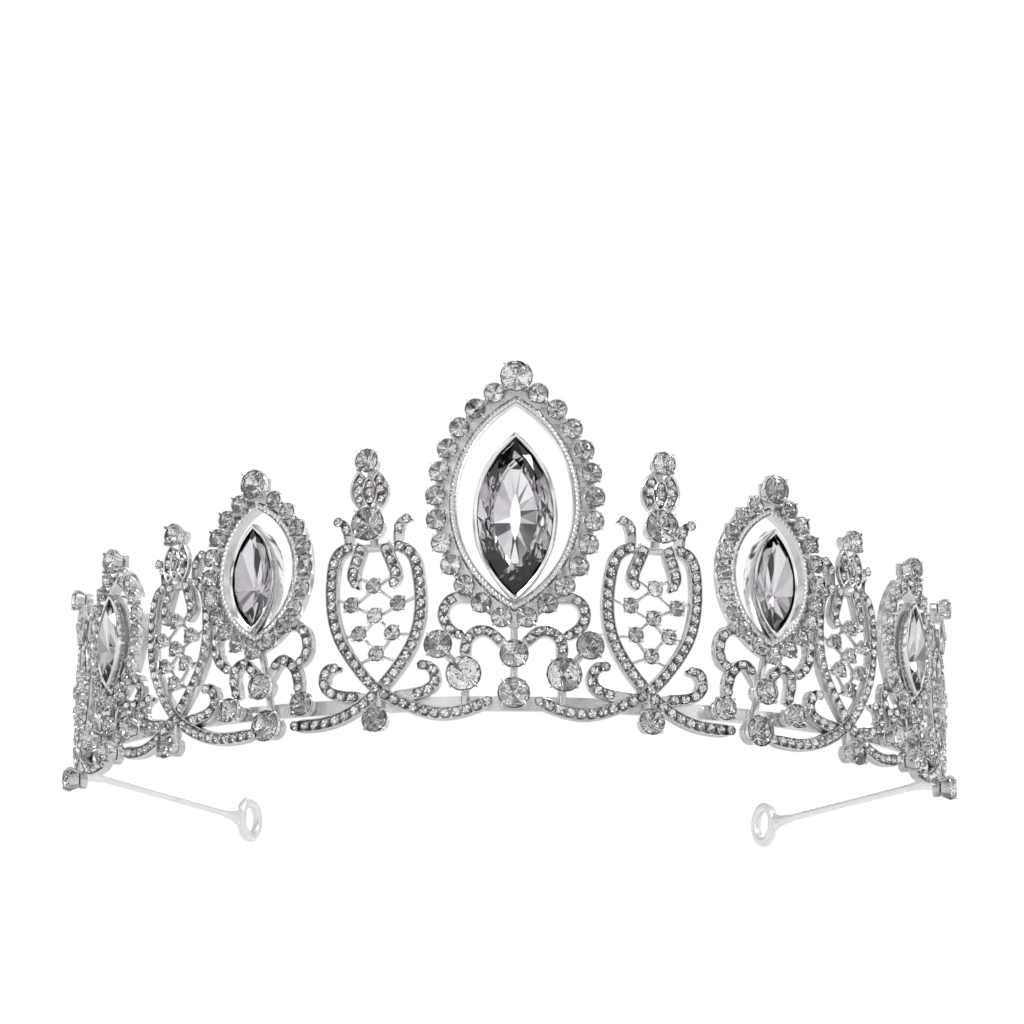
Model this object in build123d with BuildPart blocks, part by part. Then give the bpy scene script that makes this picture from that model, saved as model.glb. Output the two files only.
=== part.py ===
"""Bridal tiara: a base band, five marquise panels, six oval ribbon panels and two end arms.

The front faces -Y, +Z is up and the origin is the centre of the head circle, level with the
lowest stones.  Every panel is laid out on the circle by the arc length from the middle of the
front, and a left panel is the mirror image of the right one.
"""
import os
from collections import namedtuple
from math import asin, cos, degrees, hypot, radians, sin, sqrt

from build123d import *

os.makedirs("parts", exist_ok=True)

# ---------------------------------------------------------------- driving dimensions, in mm
band_radius = 69.8        # middle of the castings' thickness, from the centre of the head
casting = 1.2             # thickness of the rims, ribbons and scroll frames
band_thickness = 0.8
band_bottom = 3.9         # height of the band's lower edge above the lowest stones
band_height = 2.1

rim_lip = 1.1             # width of the raised edge around each marquise opening
lip_height = 0.6
rim_backing = 0.5         # how far the rim's plate reaches past the middle of its stones
bezel_wall = 0.6
bezel_depth = 3.0         # from the back of the castings to the bezel's front edge
bezel_back = 0.5
stone_clearance = 0.08    # all round, between a stone and its setting

ribbon_width = 1.9
scroll_width = 1.7
stem_width = 1.4
net_wire = 0.5
net_thickness = 0.6
cup_wall = 0.2
claw_size = 0.34
seat_lift = cup_wall + stone_clearance   # a stone's culet above its setting's back
tail_gap = 0.4            # between a ribbon's tail and the next base stone's setting

net_stone = 2.1
bud_length = 5.4
bud_width = 2.3
bud_thickness = 0.9

arm_length = 56.5         # from the end of the band to the middle of the loop
arm_turn = 23.0           # degrees that the arm turns inwards from the band's end
arm_height = 1.6
arm_thickness = 1.3
arm_flare = 3.4           # height of the arm's flat foot on the band
foot_length = 6.0
loop_height_above_base = 4.3
loop_outer = 8.0
loop_hole = 4.2
loop_thickness = 1.6

# A marquise panel: where it stands, its opening, its stone, its halo and its base unit
Marquise = namedtuple("Marquise", "name sides arc base_z frame_height opening_length opening_width "
                      "stone_length stone_width halo_stone halo_offset halo_at_tip top_stone "
                      "base_stone mid_stone side_stone side_at outer_stone outer_at spread base_lean")
marquise_panels = [
    Marquise("centre", (1,), 0.0, 6.0, 13.5, 29.7, 17.0, 23.7, 11.2, 2.8, 2.9, False, 4.5,
             4.4, 3.9, 4.9, (7.0, 2.8), 3.9, (10.7, 7.2), 1.0, 0.0),
    Marquise("front", (-1, 1), 39.7, 2.4, 14.1, 18.8, 12.4, 15.0, 7.0, 2.45, 2.45, True, 4.2,
             4.4, 3.7, 3.4, (6.2, 2.9), 0.0, (0.0, 0.0), 0.8, 0.22),
    Marquise("side", (-1, 1), 73.0, 2.2, 10.0, 16.5, 10.8, 13.3, 6.4, 2.05, 2.2, True, 3.7,
             4.0, 2.6, 3.7, (6.3, 2.9), 0.0, (0.0, 0.0), 0.74, 0.0),
]

# An oval ribbon panel: where it stands, its crossing, its size, and the stones on its axis
Oval = namedtuple("Oval", "name arc crossing_z height half_width lean big_stone top_stone "
                  "bottom_stone inner_dip outer_dip")
oval_panels = [
    Oval("front", 19.7, 7.0, 21.6, 6.8, 0.055, 4.8, 3.3, 3.6, 3.6, 4.4),
    Oval("middle", 56.0, 5.8, 20.4, 6.5, 0.0, 0.0, 3.2, 3.6, 4.2, 4.2),
    Oval("back", 91.5, 5.2, 17.0, 5.8, 0.0, 0.0, 3.0, 3.6, 4.1, 3.4),
]
bottom_stone_drop = 4.5   # from the crossing down to the middle of the bottom stone
end_tail_reach = 13.5     # of the last oval's outer tail, which has no stone to meet
# the band runs on past the last tail by the length of the arm's foot
band_reach = oval_panels[-1].arc + end_tail_reach + ribbon_width / 2 + tail_gap + foot_length

back_face = band_radius - casting / 2
front_face = band_radius + casting / 2
side_names = {-1: "left", 1: "right"}


# ---------------------------------------------------------------- places on the head circle
def tangent_plane(arc, radius=0.0):
    """Vertical plane that faces outwards at an arc length from the front."""
    turn = arc / band_radius
    outwards = (sin(turn), -cos(turn), 0)
    return Plane(origin=(radius * outwards[0], radius * outwards[1], 0),
                 x_dir=(cos(turn), sin(turn), 0), z_dir=outwards)


def flat(u):
    """Distance on the tangent plane that reaches the circle at arc length u."""
    return band_radius * sin(u / band_radius)


def seat(arc, z, radius):
    """Place of a stone that faces outwards at an arc length, a height and a radius."""
    plane = tangent_plane(arc, radius)
    return Location(Plane(origin=plane.origin + Vector(0, 0, z), x_dir=plane.x_dir,
                          z_dir=plane.z_dir))


def curved_wall(inner, outer):
    """Tall tube wall that bends a flat cut-out to the head circle."""
    with BuildPart() as wall:
        with BuildSketch(Plane.XY.offset(-10)):
            Circle(outer)
            Circle(inner, mode=Mode.SUBTRACT)
        extrude(amount=80)
    return wall.part


casting_wall = curved_wall(back_face, front_face)
lip_wall = curved_wall(front_face, front_face + lip_height)
net_wall = curved_wall(back_face, back_face + net_thickness)


def vesica(length, width, grow, middle_z):
    """Pointed oval of two arcs, grown outwards by the same amount all round."""
    arc_radius = (length ** 2 + width ** 2) / (4 * width)
    centre = arc_radius - width / 2
    reach = arc_radius + grow
    tip = sqrt(reach ** 2 - centre ** 2)
    with BuildSketch() as outline:
        with BuildLine():
            ThreePointArc((0, middle_z - tip), (reach - centre, middle_z), (0, middle_z + tip))
            ThreePointArc((0, middle_z + tip), (centre - reach, middle_z), (0, middle_z - tip))
        make_face()
    return outline.sketch


def stone_solid(diameter, crown=0.17, table=0.55, pavilion=0.42, culet=0.12):
    """Round brilliant as two cones on a thin girdle, with its culet at z = 0."""
    girdle_z = pavilion * diameter
    girdle = 0.04 * diameter
    radius = diameter / 2
    with BuildPart() as stone:
        with BuildSketch(Plane.XZ):
            with BuildLine():
                Polyline((0, 0), (culet * radius, 0), (radius, girdle_z), (radius, girdle_z + girdle),
                         (table * radius, girdle_z + girdle + crown * diameter),
                         (0, girdle_z + girdle + crown * diameter), close=True)
            make_face()
        revolve(axis=Axis.Z)
    return stone.part


def cup_solid(diameter, claws=True):
    """Tapered setting with four claws; the stone's culet sits one clearance above its floor."""
    inner = diameter / 2 + stone_clearance
    outer = diameter / 2 + cup_wall
    depth = 0.42 * diameter + stone_clearance
    floor = cup_wall
    with BuildPart() as cup:
        with BuildSketch(Plane.XZ):
            with BuildLine():
                Polyline((0, 0), (0.62 * outer, 0), (outer, floor + depth),
                         (inner, floor + depth), (0.12 * inner + stone_clearance, floor),
                         (0, floor), close=True)
            make_face()
        revolve(axis=Axis.Z)
        if claws:
            with PolarLocations(inner + claw_size / 2, 4, start_angle=45):
                Box(claw_size, claw_size, floor + depth + 0.16 * diameter,
                    align=(Align.CENTER, Align.CENTER, Align.MIN))
    return cup.part


def cup_radius(diameter):
    """Room that a claw-set stone takes, from its middle."""
    return diameter / 2 + stone_clearance + claw_size


# ---------------------------------------------------------------- what each panel is tied to
def halo_places(panel):
    """Arc offset and height of each halo stone: even steps up both sides of the grown vesica."""
    arc_radius = (panel.opening_length ** 2 + panel.opening_width ** 2) / (4 * panel.opening_width)
    centre = arc_radius - panel.opening_width / 2
    reach = arc_radius + panel.halo_offset
    middle = opening_middle(panel)
    tip_angle = asin(sqrt(reach ** 2 - centre ** 2) / reach)
    pitch = panel.halo_stone + 2 * cup_wall + 0.1
    top_clear = asin(min(1, (hypot(panel.top_stone / 2, panel.halo_stone / 2) + 1.0) / reach))
    first = 0.0 if panel.halo_at_tip else 0.62 * pitch / reach
    span = 2 * tip_angle - top_clear - first
    steps = int(span * reach / pitch)
    places = [(0.0, middle - reach * sin(tip_angle))] if panel.halo_at_tip else []
    for step in range(1 if panel.halo_at_tip else 0, steps + 1):
        angle = -tip_angle + first + span * step / steps
        u, z = reach * cos(angle) - centre, middle + reach * sin(angle)
        places += [(u, z), (-u, z)]
    return places


def opening_middle(panel):
    return panel.base_z + panel.frame_height + panel.opening_length / 2


def top_stone_z(panel):
    """The top stone stands on the rim's upper tip, its setting clear of the raised lip."""
    return opening_middle(panel) + panel.opening_length / 2 + rim_lip + cup_radius(panel.top_stone)


def mid_stone_z(panel):
    """The mid stone hangs between the base stone's setting and the lowest halo settings."""
    lower = panel.base_z + cup_radius(panel.base_stone)
    upper = halo_places(panel)[0][1] - panel.halo_stone / 2 - cup_wall
    return lower + 0.45 * (upper - lower)


def bezel_middle(panel):
    """The bezel's lower tip meets the lower tip of the opening, where it is soldered."""
    arc_radius = (panel.stone_length ** 2 + panel.stone_width ** 2) / (4 * panel.stone_width)
    centre = arc_radius - panel.stone_width / 2
    tip = sqrt((arc_radius + bezel_wall) ** 2 - centre ** 2)
    return panel.base_z + panel.frame_height + tip


def base_leaned(panel, u, z):
    """Below its opening a marquise panel's base unit leans towards the tiara's front."""
    return u - panel.base_lean * max(0.0, panel.base_z + panel.frame_height - z)


def neighbours(panel):
    """Reach and end height of an oval's inner and outer tails, from the base stones beside it."""
    inner = [m for m in marquise_panels if m.arc < panel.arc][-1]
    outer = [m for m in marquise_panels if m.arc > panel.arc]
    inner_arc = inner.arc + base_leaned(inner, 0, inner.base_z)
    tails = [(panel.arc - inner_arc - cup_radius(inner.base_stone) - tail_gap,
              inner.base_z - 0.6, panel.inner_dip)]
    if outer:
        outer_arc = outer[0].arc + base_leaned(outer[0], 0, outer[0].base_z)
        tails.append((outer_arc - panel.arc - cup_radius(outer[0].base_stone) - tail_gap,
                      outer[0].base_z, panel.outer_dip))
    else:
        tails.append((end_tail_reach, panel.crossing_z - panel.outer_dip + 0.6, panel.outer_dip))
    return tails


# ---------------------------------------------------------------- outlines of the oval panels
def oval_paths(panel):
    """Centre lines of one oval panel: two long ribbons, two hooks, two leaves, two base hooks."""
    half, height, z0 = panel.half_width, panel.height, panel.crossing_z
    tails = neighbours(panel)
    oval = [(0.47 * half, 1.0), (0.80 * half, 0.945), (0.97 * half, 0.79), (half, 0.60),
            (0.87 * half, 0.38), (0.52 * half, 0.185), (0.0, 0.0)]
    paths = []
    for hand, (reach, end_z, dip) in ((1, tails[0]), (-1, tails[1])):
        points = [(hand * u, z0 + height * share) for u, share in oval]
        points += [(-hand * 0.24 * reach, z0 - 0.6 * dip), (-hand * 0.56 * reach, z0 - dip),
                   (-hand * reach, end_z)]
        paths.append((points, ribbon_width))
    for hand in (1, -1):
        root = 0.56 * half
        shoulder = [(root, z0 + height - 0.2), (root + 0.1, z0 + height + 2.0),
                    (root + 1.0, z0 + height + 3.6), (root + 2.3, z0 + height + 3.5)]
        leaf = [(0.24 * half, z0 + height + 0.2), (0.42 * half, z0 + 0.86 * height),
                (0.48 * half, z0 + 0.78 * height), (0.36 * half, z0 + 0.70 * height)]
        hook = [(1.6, z0 - 0.9), (5.2, z0 - 0.7), (8.4, z0 + 1.2), (7.7, z0 + 3.3), (5.8, z0 + 3.4)]
        for points, width in ((shoulder, 1.3), (leaf, scroll_width), (hook, scroll_width)):
            paths.append(([(hand * u, z) for u, z in points], width))
    return [([(u + panel.lean * max(0.0, z - z0), z) for u, z in points], width)
            for points, width in paths]


def axis_places(panel):
    """Height and diameter of the stones on an oval panel's axis, and its bud's lower tip."""
    top = panel.crossing_z + panel.height
    stones = [(panel.crossing_z - bottom_stone_drop, panel.bottom_stone)]
    bud_z = top + 0.3
    if panel.big_stone:
        big_z = top - 0.1 + cup_radius(panel.big_stone)
        stones.append((big_z, panel.big_stone))
        bud_z = big_z + cup_radius(panel.big_stone) - 0.2
    stones.append((bud_z + bud_length + 0.78 * cup_radius(panel.top_stone), panel.top_stone))
    return stones, bud_z


def net_places(panel):
    """Stones of the net inside an oval, as shares of its size, from the top down."""
    shares = [(0.0, 0.71), (0.52, 0.585), (-0.52, 0.585), (0.0, 0.505), (0.37, 0.385),
              (-0.37, 0.385), (0.0, 0.245)]
    return [(panel.half_width * u, panel.crossing_z + panel.height * v) for u, v in shares]


def leaned(panel, u, z):
    return u + panel.lean * max(0.0, z - panel.crossing_z)


def outline(paths, hand):
    """Union of round-ended strips along splines, on a tangent plane; hand mirrors it."""
    with BuildSketch() as strips:
        for points, width in paths:
            with BuildLine() as line:
                Spline(*[(hand * flat(u), z) for u, z in points])
            trace(line_width=width)
            with Locations((hand * flat(points[0][0]), points[0][1]),
                           (hand * flat(points[-1][0]), points[-1][1])):
                Circle(width / 2)
    return strips.sketch


def cut_to_wall(arc, sketch, wall):
    """Cut a flat outline through a curved wall on the tangent plane at an arc length."""
    with BuildPart() as piece:
        with BuildSketch(tangent_plane(arc, band_radius)):
            add(sketch)
        extrude(amount=6, both=True)
        add(wall, mode=Mode.INTERSECT)
    return piece.part


def set_stones(places, settings, stones, claws=True):
    """Add a setting and a stone at each place: (arc, height, seat radius, diameter)."""
    for arc, z, radius, diameter in places:
        settings.append((seat(arc, z, radius), cup_shapes(diameter, claws)))
        stones.append((seat(arc, z, radius + seat_lift), stone_shapes(diameter)))


shape_store = {}


def cup_shapes(diameter, claws=True):
    key = ("cup", diameter, claws)
    if key not in shape_store:
        shape_store[key] = cup_solid(diameter, claws)
    return shape_store[key]


def stone_shapes(diameter):
    key = ("stone", diameter)
    if key not in shape_store:
        shape_store[key] = stone_solid(diameter)
    return shape_store[key]


def export_group(label, placed):
    """Write a group of separate, placed solids as one node."""
    group = Compound(label=label, children=[shape.moved(place) for place, shape in placed])
    export_step(group, f"parts/{label}.step")


def export_piece(label, part):
    part.label = label
    export_step(part, f"parts/{label}.step")


# ---------------------------------------------------------------- base band
with BuildPart() as base_band:
    with BuildSketch(Plane.XY.offset(band_bottom)):
        end_turn = degrees(band_reach / band_radius)
        with BuildLine():
            outer_arc = CenterArc((0, 0), back_face, -90 - end_turn, 2 * end_turn)
            inner_arc = CenterArc((0, 0), back_face - band_thickness, -90 - end_turn, 2 * end_turn)
            Line(outer_arc @ 0, inner_arc @ 0)
            Line(outer_arc @ 1, inner_arc @ 1)
        make_face()
    extrude(amount=band_height)
export_piece("base_band", base_band.part)

# ---------------------------------------------------------------- marquise panels
frame_settings, frame_stones = [], []
for panel in marquise_panels:
    middle = opening_middle(panel)
    opening = (panel.opening_length, panel.opening_width)
    plate_edge = panel.halo_offset + rim_backing
    top_z = top_stone_z(panel)
    for hand in panel.sides:
        arc = hand * panel.arc
        name = panel.name if len(panel.sides) == 1 else f"{side_names[hand]}_{panel.name}"

        # rim: a pierced plate behind the halo, with a raised lip round the opening
        with BuildSketch() as plate:
            add(vesica(*opening, plate_edge, middle))
            with Locations((0, top_z)):
                Circle(0.8 * cup_radius(panel.top_stone))
            with Locations((0, (top_z + middle + panel.opening_length / 2) / 2)):
                Rectangle(2 * stem_width, top_z - middle - panel.opening_length / 2)
            add(vesica(*opening, 0, middle), mode=Mode.SUBTRACT)
        with BuildSketch() as lip:
            add(vesica(*opening, rim_lip, middle))
            add(vesica(*opening, 0, middle), mode=Mode.SUBTRACT)
        with BuildPart() as rim:
            add(cut_to_wall(arc, plate.sketch, casting_wall))
            add(cut_to_wall(arc, lip.sketch, lip_wall))
        export_piece(f"{name}_rim", rim.part)

        # bezel: a deep closed cup with a narrow front edge
        setting_z = bezel_middle(panel)
        stone_size = (panel.stone_length, panel.stone_width)
        with BuildPart() as bezel:
            with BuildSketch(tangent_plane(arc, back_face)):
                add(vesica(*stone_size, bezel_wall, setting_z))
            extrude(amount=bezel_depth)
            with BuildSketch(tangent_plane(arc, back_face + bezel_back)):
                add(vesica(*stone_size, stone_clearance, setting_z))
            extrude(amount=bezel_depth - bezel_back, mode=Mode.SUBTRACT)
        export_piece(f"{name}_bezel", bezel.part)

        # marquise stone: pavilion and crown lofted from the girdle outline
        girdle = back_face + bezel_depth - 0.5
        pavilion = bezel_depth - bezel_back - 0.5 - stone_clearance
        crown = 0.16 * panel.stone_width
        with BuildPart() as marquise:
            with BuildSketch(tangent_plane(arc, girdle)):
                add(vesica(*stone_size, 0, setting_z))
            with BuildSketch(tangent_plane(arc, girdle - pavilion)):
                add(vesica(0.4 * panel.stone_length, 0.4 * panel.stone_width, 0, setting_z))
            loft()
            with BuildSketch(tangent_plane(arc, girdle)):
                add(vesica(*stone_size, 0, setting_z))
            with BuildSketch(tangent_plane(arc, girdle + crown)):
                add(vesica(0.68 * panel.stone_length, 0.62 * panel.stone_width, 0, setting_z))
            loft()
        export_piece(f"{name}_marquise", marquise.part)

        # halo: small round stones round the rim and one larger stone on its tip
        halo = [(arc + hand * u, z, front_face, panel.halo_stone) for u, z in halo_places(panel)]
        settings, stones = [], []
        set_stones(halo, settings, stones, claws=False)
        set_stones([(arc, top_z, front_face, panel.top_stone)], settings, stones)
        export_group(f"{name}_halo_settings", settings)
        export_group(f"{name}_halo_stones", stones)

        # scroll frame under the rim: a stem, stone backs and four scrolls in one casting
        rise = panel.frame_height / marquise_panels[0].frame_height
        spread = panel.spread
        side_u, side_v = panel.side_at
        side_z = panel.base_z + side_v
        scrolls = []
        for way in (1, -1):
            upper = [(4.9, 13.3), (6.9, 14.3), (9.3, 14.0), (10.3, 11.9), (9.4, 9.9), (7.2, 8.6)]
            lower = [(0.8, 6.6), (2.3, 8.3), (4.3, 9.5), (6.3, 8.7), (7.0, 6.9), (6.7, 4.6)]
            for points in (upper, lower):
                scrolls.append(([(base_leaned(panel, way * spread * u, panel.base_z + rise * v),
                                  panel.base_z + rise * v) for u, v in points], scroll_width))
        places = [(0.0, panel.base_z, panel.base_stone),
                  (0.0, mid_stone_z(panel), panel.mid_stone)]
        for way in (1, -1):
            places.append((way * side_u, side_z, panel.side_stone))
            if panel.outer_stone:
                outer_u, outer_v = panel.outer_at
                places.append((way * outer_u, panel.base_z + outer_v, panel.outer_stone))
        places = [(base_leaned(panel, u, z), z, diameter) for u, z, diameter in places]
        with BuildSketch() as frame_outline:
            add(outline(scrolls, hand))
            for u, z, diameter in places:
                with Locations((hand * u, z)):
                    Circle(0.4 * diameter)
            stem_top = panel.base_z + panel.frame_height
            with BuildLine():
                Line((hand * base_leaned(panel, 0, panel.base_z), panel.base_z), (0, stem_top))
            trace(line_width=stem_width)
            for way in (1, -1):
                post_bottom = band_bottom + 0.6 * band_height
                post_u = hand * base_leaned(panel, way * side_u, side_z)
                with Locations((post_u, (side_z + post_bottom) / 2)):
                    Rectangle(stem_width, max(side_z - post_bottom, 0.4))
                if panel.outer_stone:
                    # a short bar ties the outer stone to the side stone's back
                    with BuildLine():
                        Line((way * side_u, side_z), (way * panel.outer_at[0],
                                                      panel.base_z + panel.outer_at[1]))
                    trace(line_width=stem_width)
            add(vesica(*opening, plate_edge, middle), mode=Mode.SUBTRACT)
        export_piece(f"{name}_scroll_frame",
                     cut_to_wall(arc, frame_outline.sketch, casting_wall))
        set_stones([(arc + hand * u, z, front_face, d) for u, z, d in places],
                   frame_settings, frame_stones)
export_group("scroll_settings", frame_settings)
export_group("scroll_stones", frame_stones)

# ---------------------------------------------------------------- oval ribbon panels
nets, buds = [], []
for panel in oval_panels:
    paths = oval_paths(panel)
    axis_stones, bud_z = axis_places(panel)
    net_stones = net_places(panel)
    for hand in (-1, 1):
        arc = hand * panel.arc
        name = f"{side_names[hand]}_{panel.name}_oval"

        # ribbon casting: crossing ribbons, hooks and leaves, with a stem that carries the axis
        with BuildSketch() as ribbon:
            add(outline(paths, hand))
            top_z = axis_stones[-1][0]
            bottom_z = axis_stones[0][0]
            join_z = panel.crossing_z + panel.height - 0.4
            with BuildLine():
                Line((0, bottom_z), (0, panel.crossing_z))
            trace(line_width=stem_width)
            with BuildLine():
                Line((hand * leaned(panel, 0, join_z), join_z),
                     (hand * leaned(panel, 0, top_z), top_z))
            trace(line_width=stem_width)
            # crown bar that ties the two ribbon tops and the leaves to the stem
            with BuildLine():
                Line((hand * leaned(panel, -0.5 * panel.half_width, join_z), join_z),
                     (hand * leaned(panel, 0.5 * panel.half_width, join_z), join_z))
            trace(line_width=stem_width)
            for z, diameter in axis_stones:
                with Locations((hand * leaned(panel, 0, z), z)):
                    Circle(0.4 * diameter)
        export_piece(f"{name}_ribbon", cut_to_wall(arc, ribbon.sketch, casting_wall))

        # net of thin wires inside the oval, cut where it meets the ribbons
        with BuildSketch() as net:
            for u, z in net_stones:
                with Locations((hand * leaned(panel, u, z), z)):
                    Circle(0.36 * net_stone)
            half, height, z0 = panel.half_width, panel.height, panel.crossing_z
            links = [(0, 1), (0, 2), (1, 3), (2, 3), (3, 4), (3, 5), (4, 6), (5, 6)]
            wires = [(net_stones[a], net_stones[b]) for a, b in links]
            for way in (1, -1):
                wires += [(net_stones[1 if way > 0 else 2], (way * half, z0 + 0.65 * height)),
                          (net_stones[4 if way > 0 else 5], (way * 0.87 * half, z0 + 0.38 * height)),
                          (net_stones[6], (way * 0.52 * half, z0 + 0.185 * height)),
                          (net_stones[0], (way * 0.36 * half, z0 + 0.78 * height))]
            for start, end in wires:
                with BuildLine():
                    Line(*[(hand * leaned(panel, u, z), z) for u, z in (start, end)])
                trace(line_width=net_wire)
            add(ribbon.sketch, mode=Mode.SUBTRACT)
        nets.append((Location(), cut_to_wall(arc, net.sketch, net_wall)))

        # stones on the axis, in the net and on the two hooks
        settings, stones = [], []
        set_stones([(arc + hand * leaned(panel, 0, z), z, front_face, d) for z, d in axis_stones],
                   settings, stones)
        set_stones([(arc + hand * leaned(panel, u, z), z, back_face + net_thickness, net_stone)
                    for u, z in net_stones], settings, stones, claws=False)
        export_group(f"{name}_settings", settings)
        export_group(f"{name}_stones", stones)

        # bud: three pointed leaves in one small casting on the stem's front
        with BuildPart() as bud:
            with BuildSketch(Plane.XY.offset(0)):
                for tilt, shift, size in ((0, 0, 1.0), (16, -1.35, 0.88), (-16, 1.35, 0.88)):
                    with Locations(Location((shift, 0.46 * bud_length * size, 0), tilt)):
                        add(vesica(0.92 * bud_length * size, bud_width * size, 0, 0))
            extrude(amount=bud_thickness)
        bud_u = leaned(panel, 0, bud_z)
        buds.append((seat(arc + hand * bud_u, bud_z, front_face), bud.part))
export_group("lattice_nets", nets)
export_group("bud_finials", buds)

# ---------------------------------------------------------------- end arms with their loops
for hand in (-1, 1):
    foot_turn = foot_length / band_radius
    end_turn = band_reach / band_radius
    end = Vector(hand * back_face * sin(end_turn), -back_face * cos(end_turn), 0)
    heading = end_turn + radians(arm_turn)
    along = Vector(hand * cos(heading), sin(heading), 0)
    across = Vector(hand * sin(heading), -cos(heading), 0)
    arm_z = loop_height_above_base
    band_z = band_bottom + band_height / 2
    loop_at = end + along * arm_length + Vector(0, 0, arm_z)
    with BuildPart() as arm:
        # foot: a short flared plate on the outer face of the band's end
        with BuildSketch(Plane.XY.offset(band_z - arm_flare / 2)):
            with BuildLine():
                first = (degrees(end_turn - foot_turn) if hand > 0 else -degrees(end_turn)) - 90
                face = CenterArc((0, 0), back_face, first, degrees(foot_turn))
                crest = CenterArc((0, 0), back_face + arm_thickness, first, degrees(foot_turn))
                Line(face @ 0, crest @ 0)
                Line(face @ 1, crest @ 1)
            make_face()
        extrude(amount=arm_flare)
    with BuildPart() as rod:
        root = Plane(origin=end + across * (arm_thickness / 2) + Vector(0, 0, band_z),
                     x_dir=across, z_dir=along)
        heel = root.offset(-1.2)
        waist = root.offset(0.14 * arm_length)
        neck = root.offset(0.86 * arm_length)
        tip = root.offset(arm_length - loop_outer / 2 + 0.4)
        for plane, drop, height in ((heel, 0, arm_flare), (waist, 0.3, arm_height),
                                    (neck, 1.0, arm_height), (tip, 1.0, 0.6 * loop_outer)):
            with BuildSketch(plane):
                shift = hand * (band_z - arm_z) * drop
                with Locations((0, shift)):
                    Rectangle(arm_thickness, height)
        loft(ruled=True)
    with BuildPart() as loop:
        middle = loop_at + across * (arm_thickness / 2)
        with BuildSketch(Plane(origin=middle - across * (loop_thickness / 2), x_dir=along,
                               z_dir=across)):
            Circle(loop_outer / 2)
        extrude(amount=loop_thickness)
        fillet(loop.edges().filter_by(GeomType.CIRCLE), 0.4)
        with BuildSketch(Plane(origin=middle, x_dir=along, z_dir=across)):
            Circle(loop_hole / 2)
        extrude(amount=loop_thickness, both=True, mode=Mode.SUBTRACT)
    with BuildPart() as end_arm:
        add(arm.part)
        add(rod.part)
        add(loop.part)
    export_piece(f"{side_names[hand]}_end_arm", end_arm.part)
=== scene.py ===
"""Bridal tiara: silver-plated openwork castings, claw-set crystals, a base band and two end arms."""

import bpy
import numpy as np
from mathutils import Matrix, Vector


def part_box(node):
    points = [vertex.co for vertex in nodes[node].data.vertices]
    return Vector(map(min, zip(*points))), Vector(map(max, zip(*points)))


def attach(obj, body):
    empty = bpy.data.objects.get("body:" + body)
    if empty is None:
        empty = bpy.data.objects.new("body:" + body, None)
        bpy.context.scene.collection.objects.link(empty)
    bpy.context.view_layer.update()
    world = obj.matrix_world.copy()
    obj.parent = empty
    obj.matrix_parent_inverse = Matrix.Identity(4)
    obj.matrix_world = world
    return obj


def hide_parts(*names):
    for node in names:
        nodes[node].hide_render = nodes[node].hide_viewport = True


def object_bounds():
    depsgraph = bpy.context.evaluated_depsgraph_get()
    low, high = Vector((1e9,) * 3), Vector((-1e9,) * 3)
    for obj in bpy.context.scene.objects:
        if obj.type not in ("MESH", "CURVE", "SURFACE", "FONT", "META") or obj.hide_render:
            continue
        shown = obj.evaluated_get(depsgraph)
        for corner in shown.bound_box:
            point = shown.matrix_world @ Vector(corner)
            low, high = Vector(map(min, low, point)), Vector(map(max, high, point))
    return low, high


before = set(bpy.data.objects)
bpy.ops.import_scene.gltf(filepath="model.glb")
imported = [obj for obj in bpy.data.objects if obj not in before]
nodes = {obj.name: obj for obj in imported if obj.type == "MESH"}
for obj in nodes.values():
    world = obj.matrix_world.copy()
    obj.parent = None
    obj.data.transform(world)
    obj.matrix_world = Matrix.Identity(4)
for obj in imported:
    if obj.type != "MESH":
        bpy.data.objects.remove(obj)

cad_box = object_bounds()


# ==== Base band ======================================================================
# A flat strip of nickel silver rolled to the head's curve, bright silver plate over a
# tumbled surface.  Every casting is soldered to its outer face.

def linear(hex_colour):
    """Linear RGBA of an sRGB hex colour: each channel to the power that sRGB states."""
    srgb = np.array([int(hex_colour[i:i + 2], 16) for i in (0, 2, 4)]) / 255
    low, high = srgb / 12.92, ((srgb + 0.055) / 1.055) ** 2.4
    return (*np.where(srgb <= 0.04045, low, high), 1.0)


def add_node(tree, kind, inputs=None, **settings):
    """Add one shader node; an input's value is a number, a colour or another node's socket."""
    made = tree.nodes.new(kind)
    for key, value in settings.items():
        setattr(made, key, value)
    for key, value in (inputs or {}).items():
        if isinstance(value, bpy.types.NodeSocket):
            tree.links.new(value, made.inputs[key])
        else:
            made.inputs[key].default_value = value
    return made


def new_material(name):
    """Empty node material and its output node."""
    material = bpy.data.materials.new(name)
    material.use_nodes = True
    tree = material.node_tree
    tree.nodes.clear()
    return material, tree, tree.nodes.new("ShaderNodeOutputMaterial")


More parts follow.
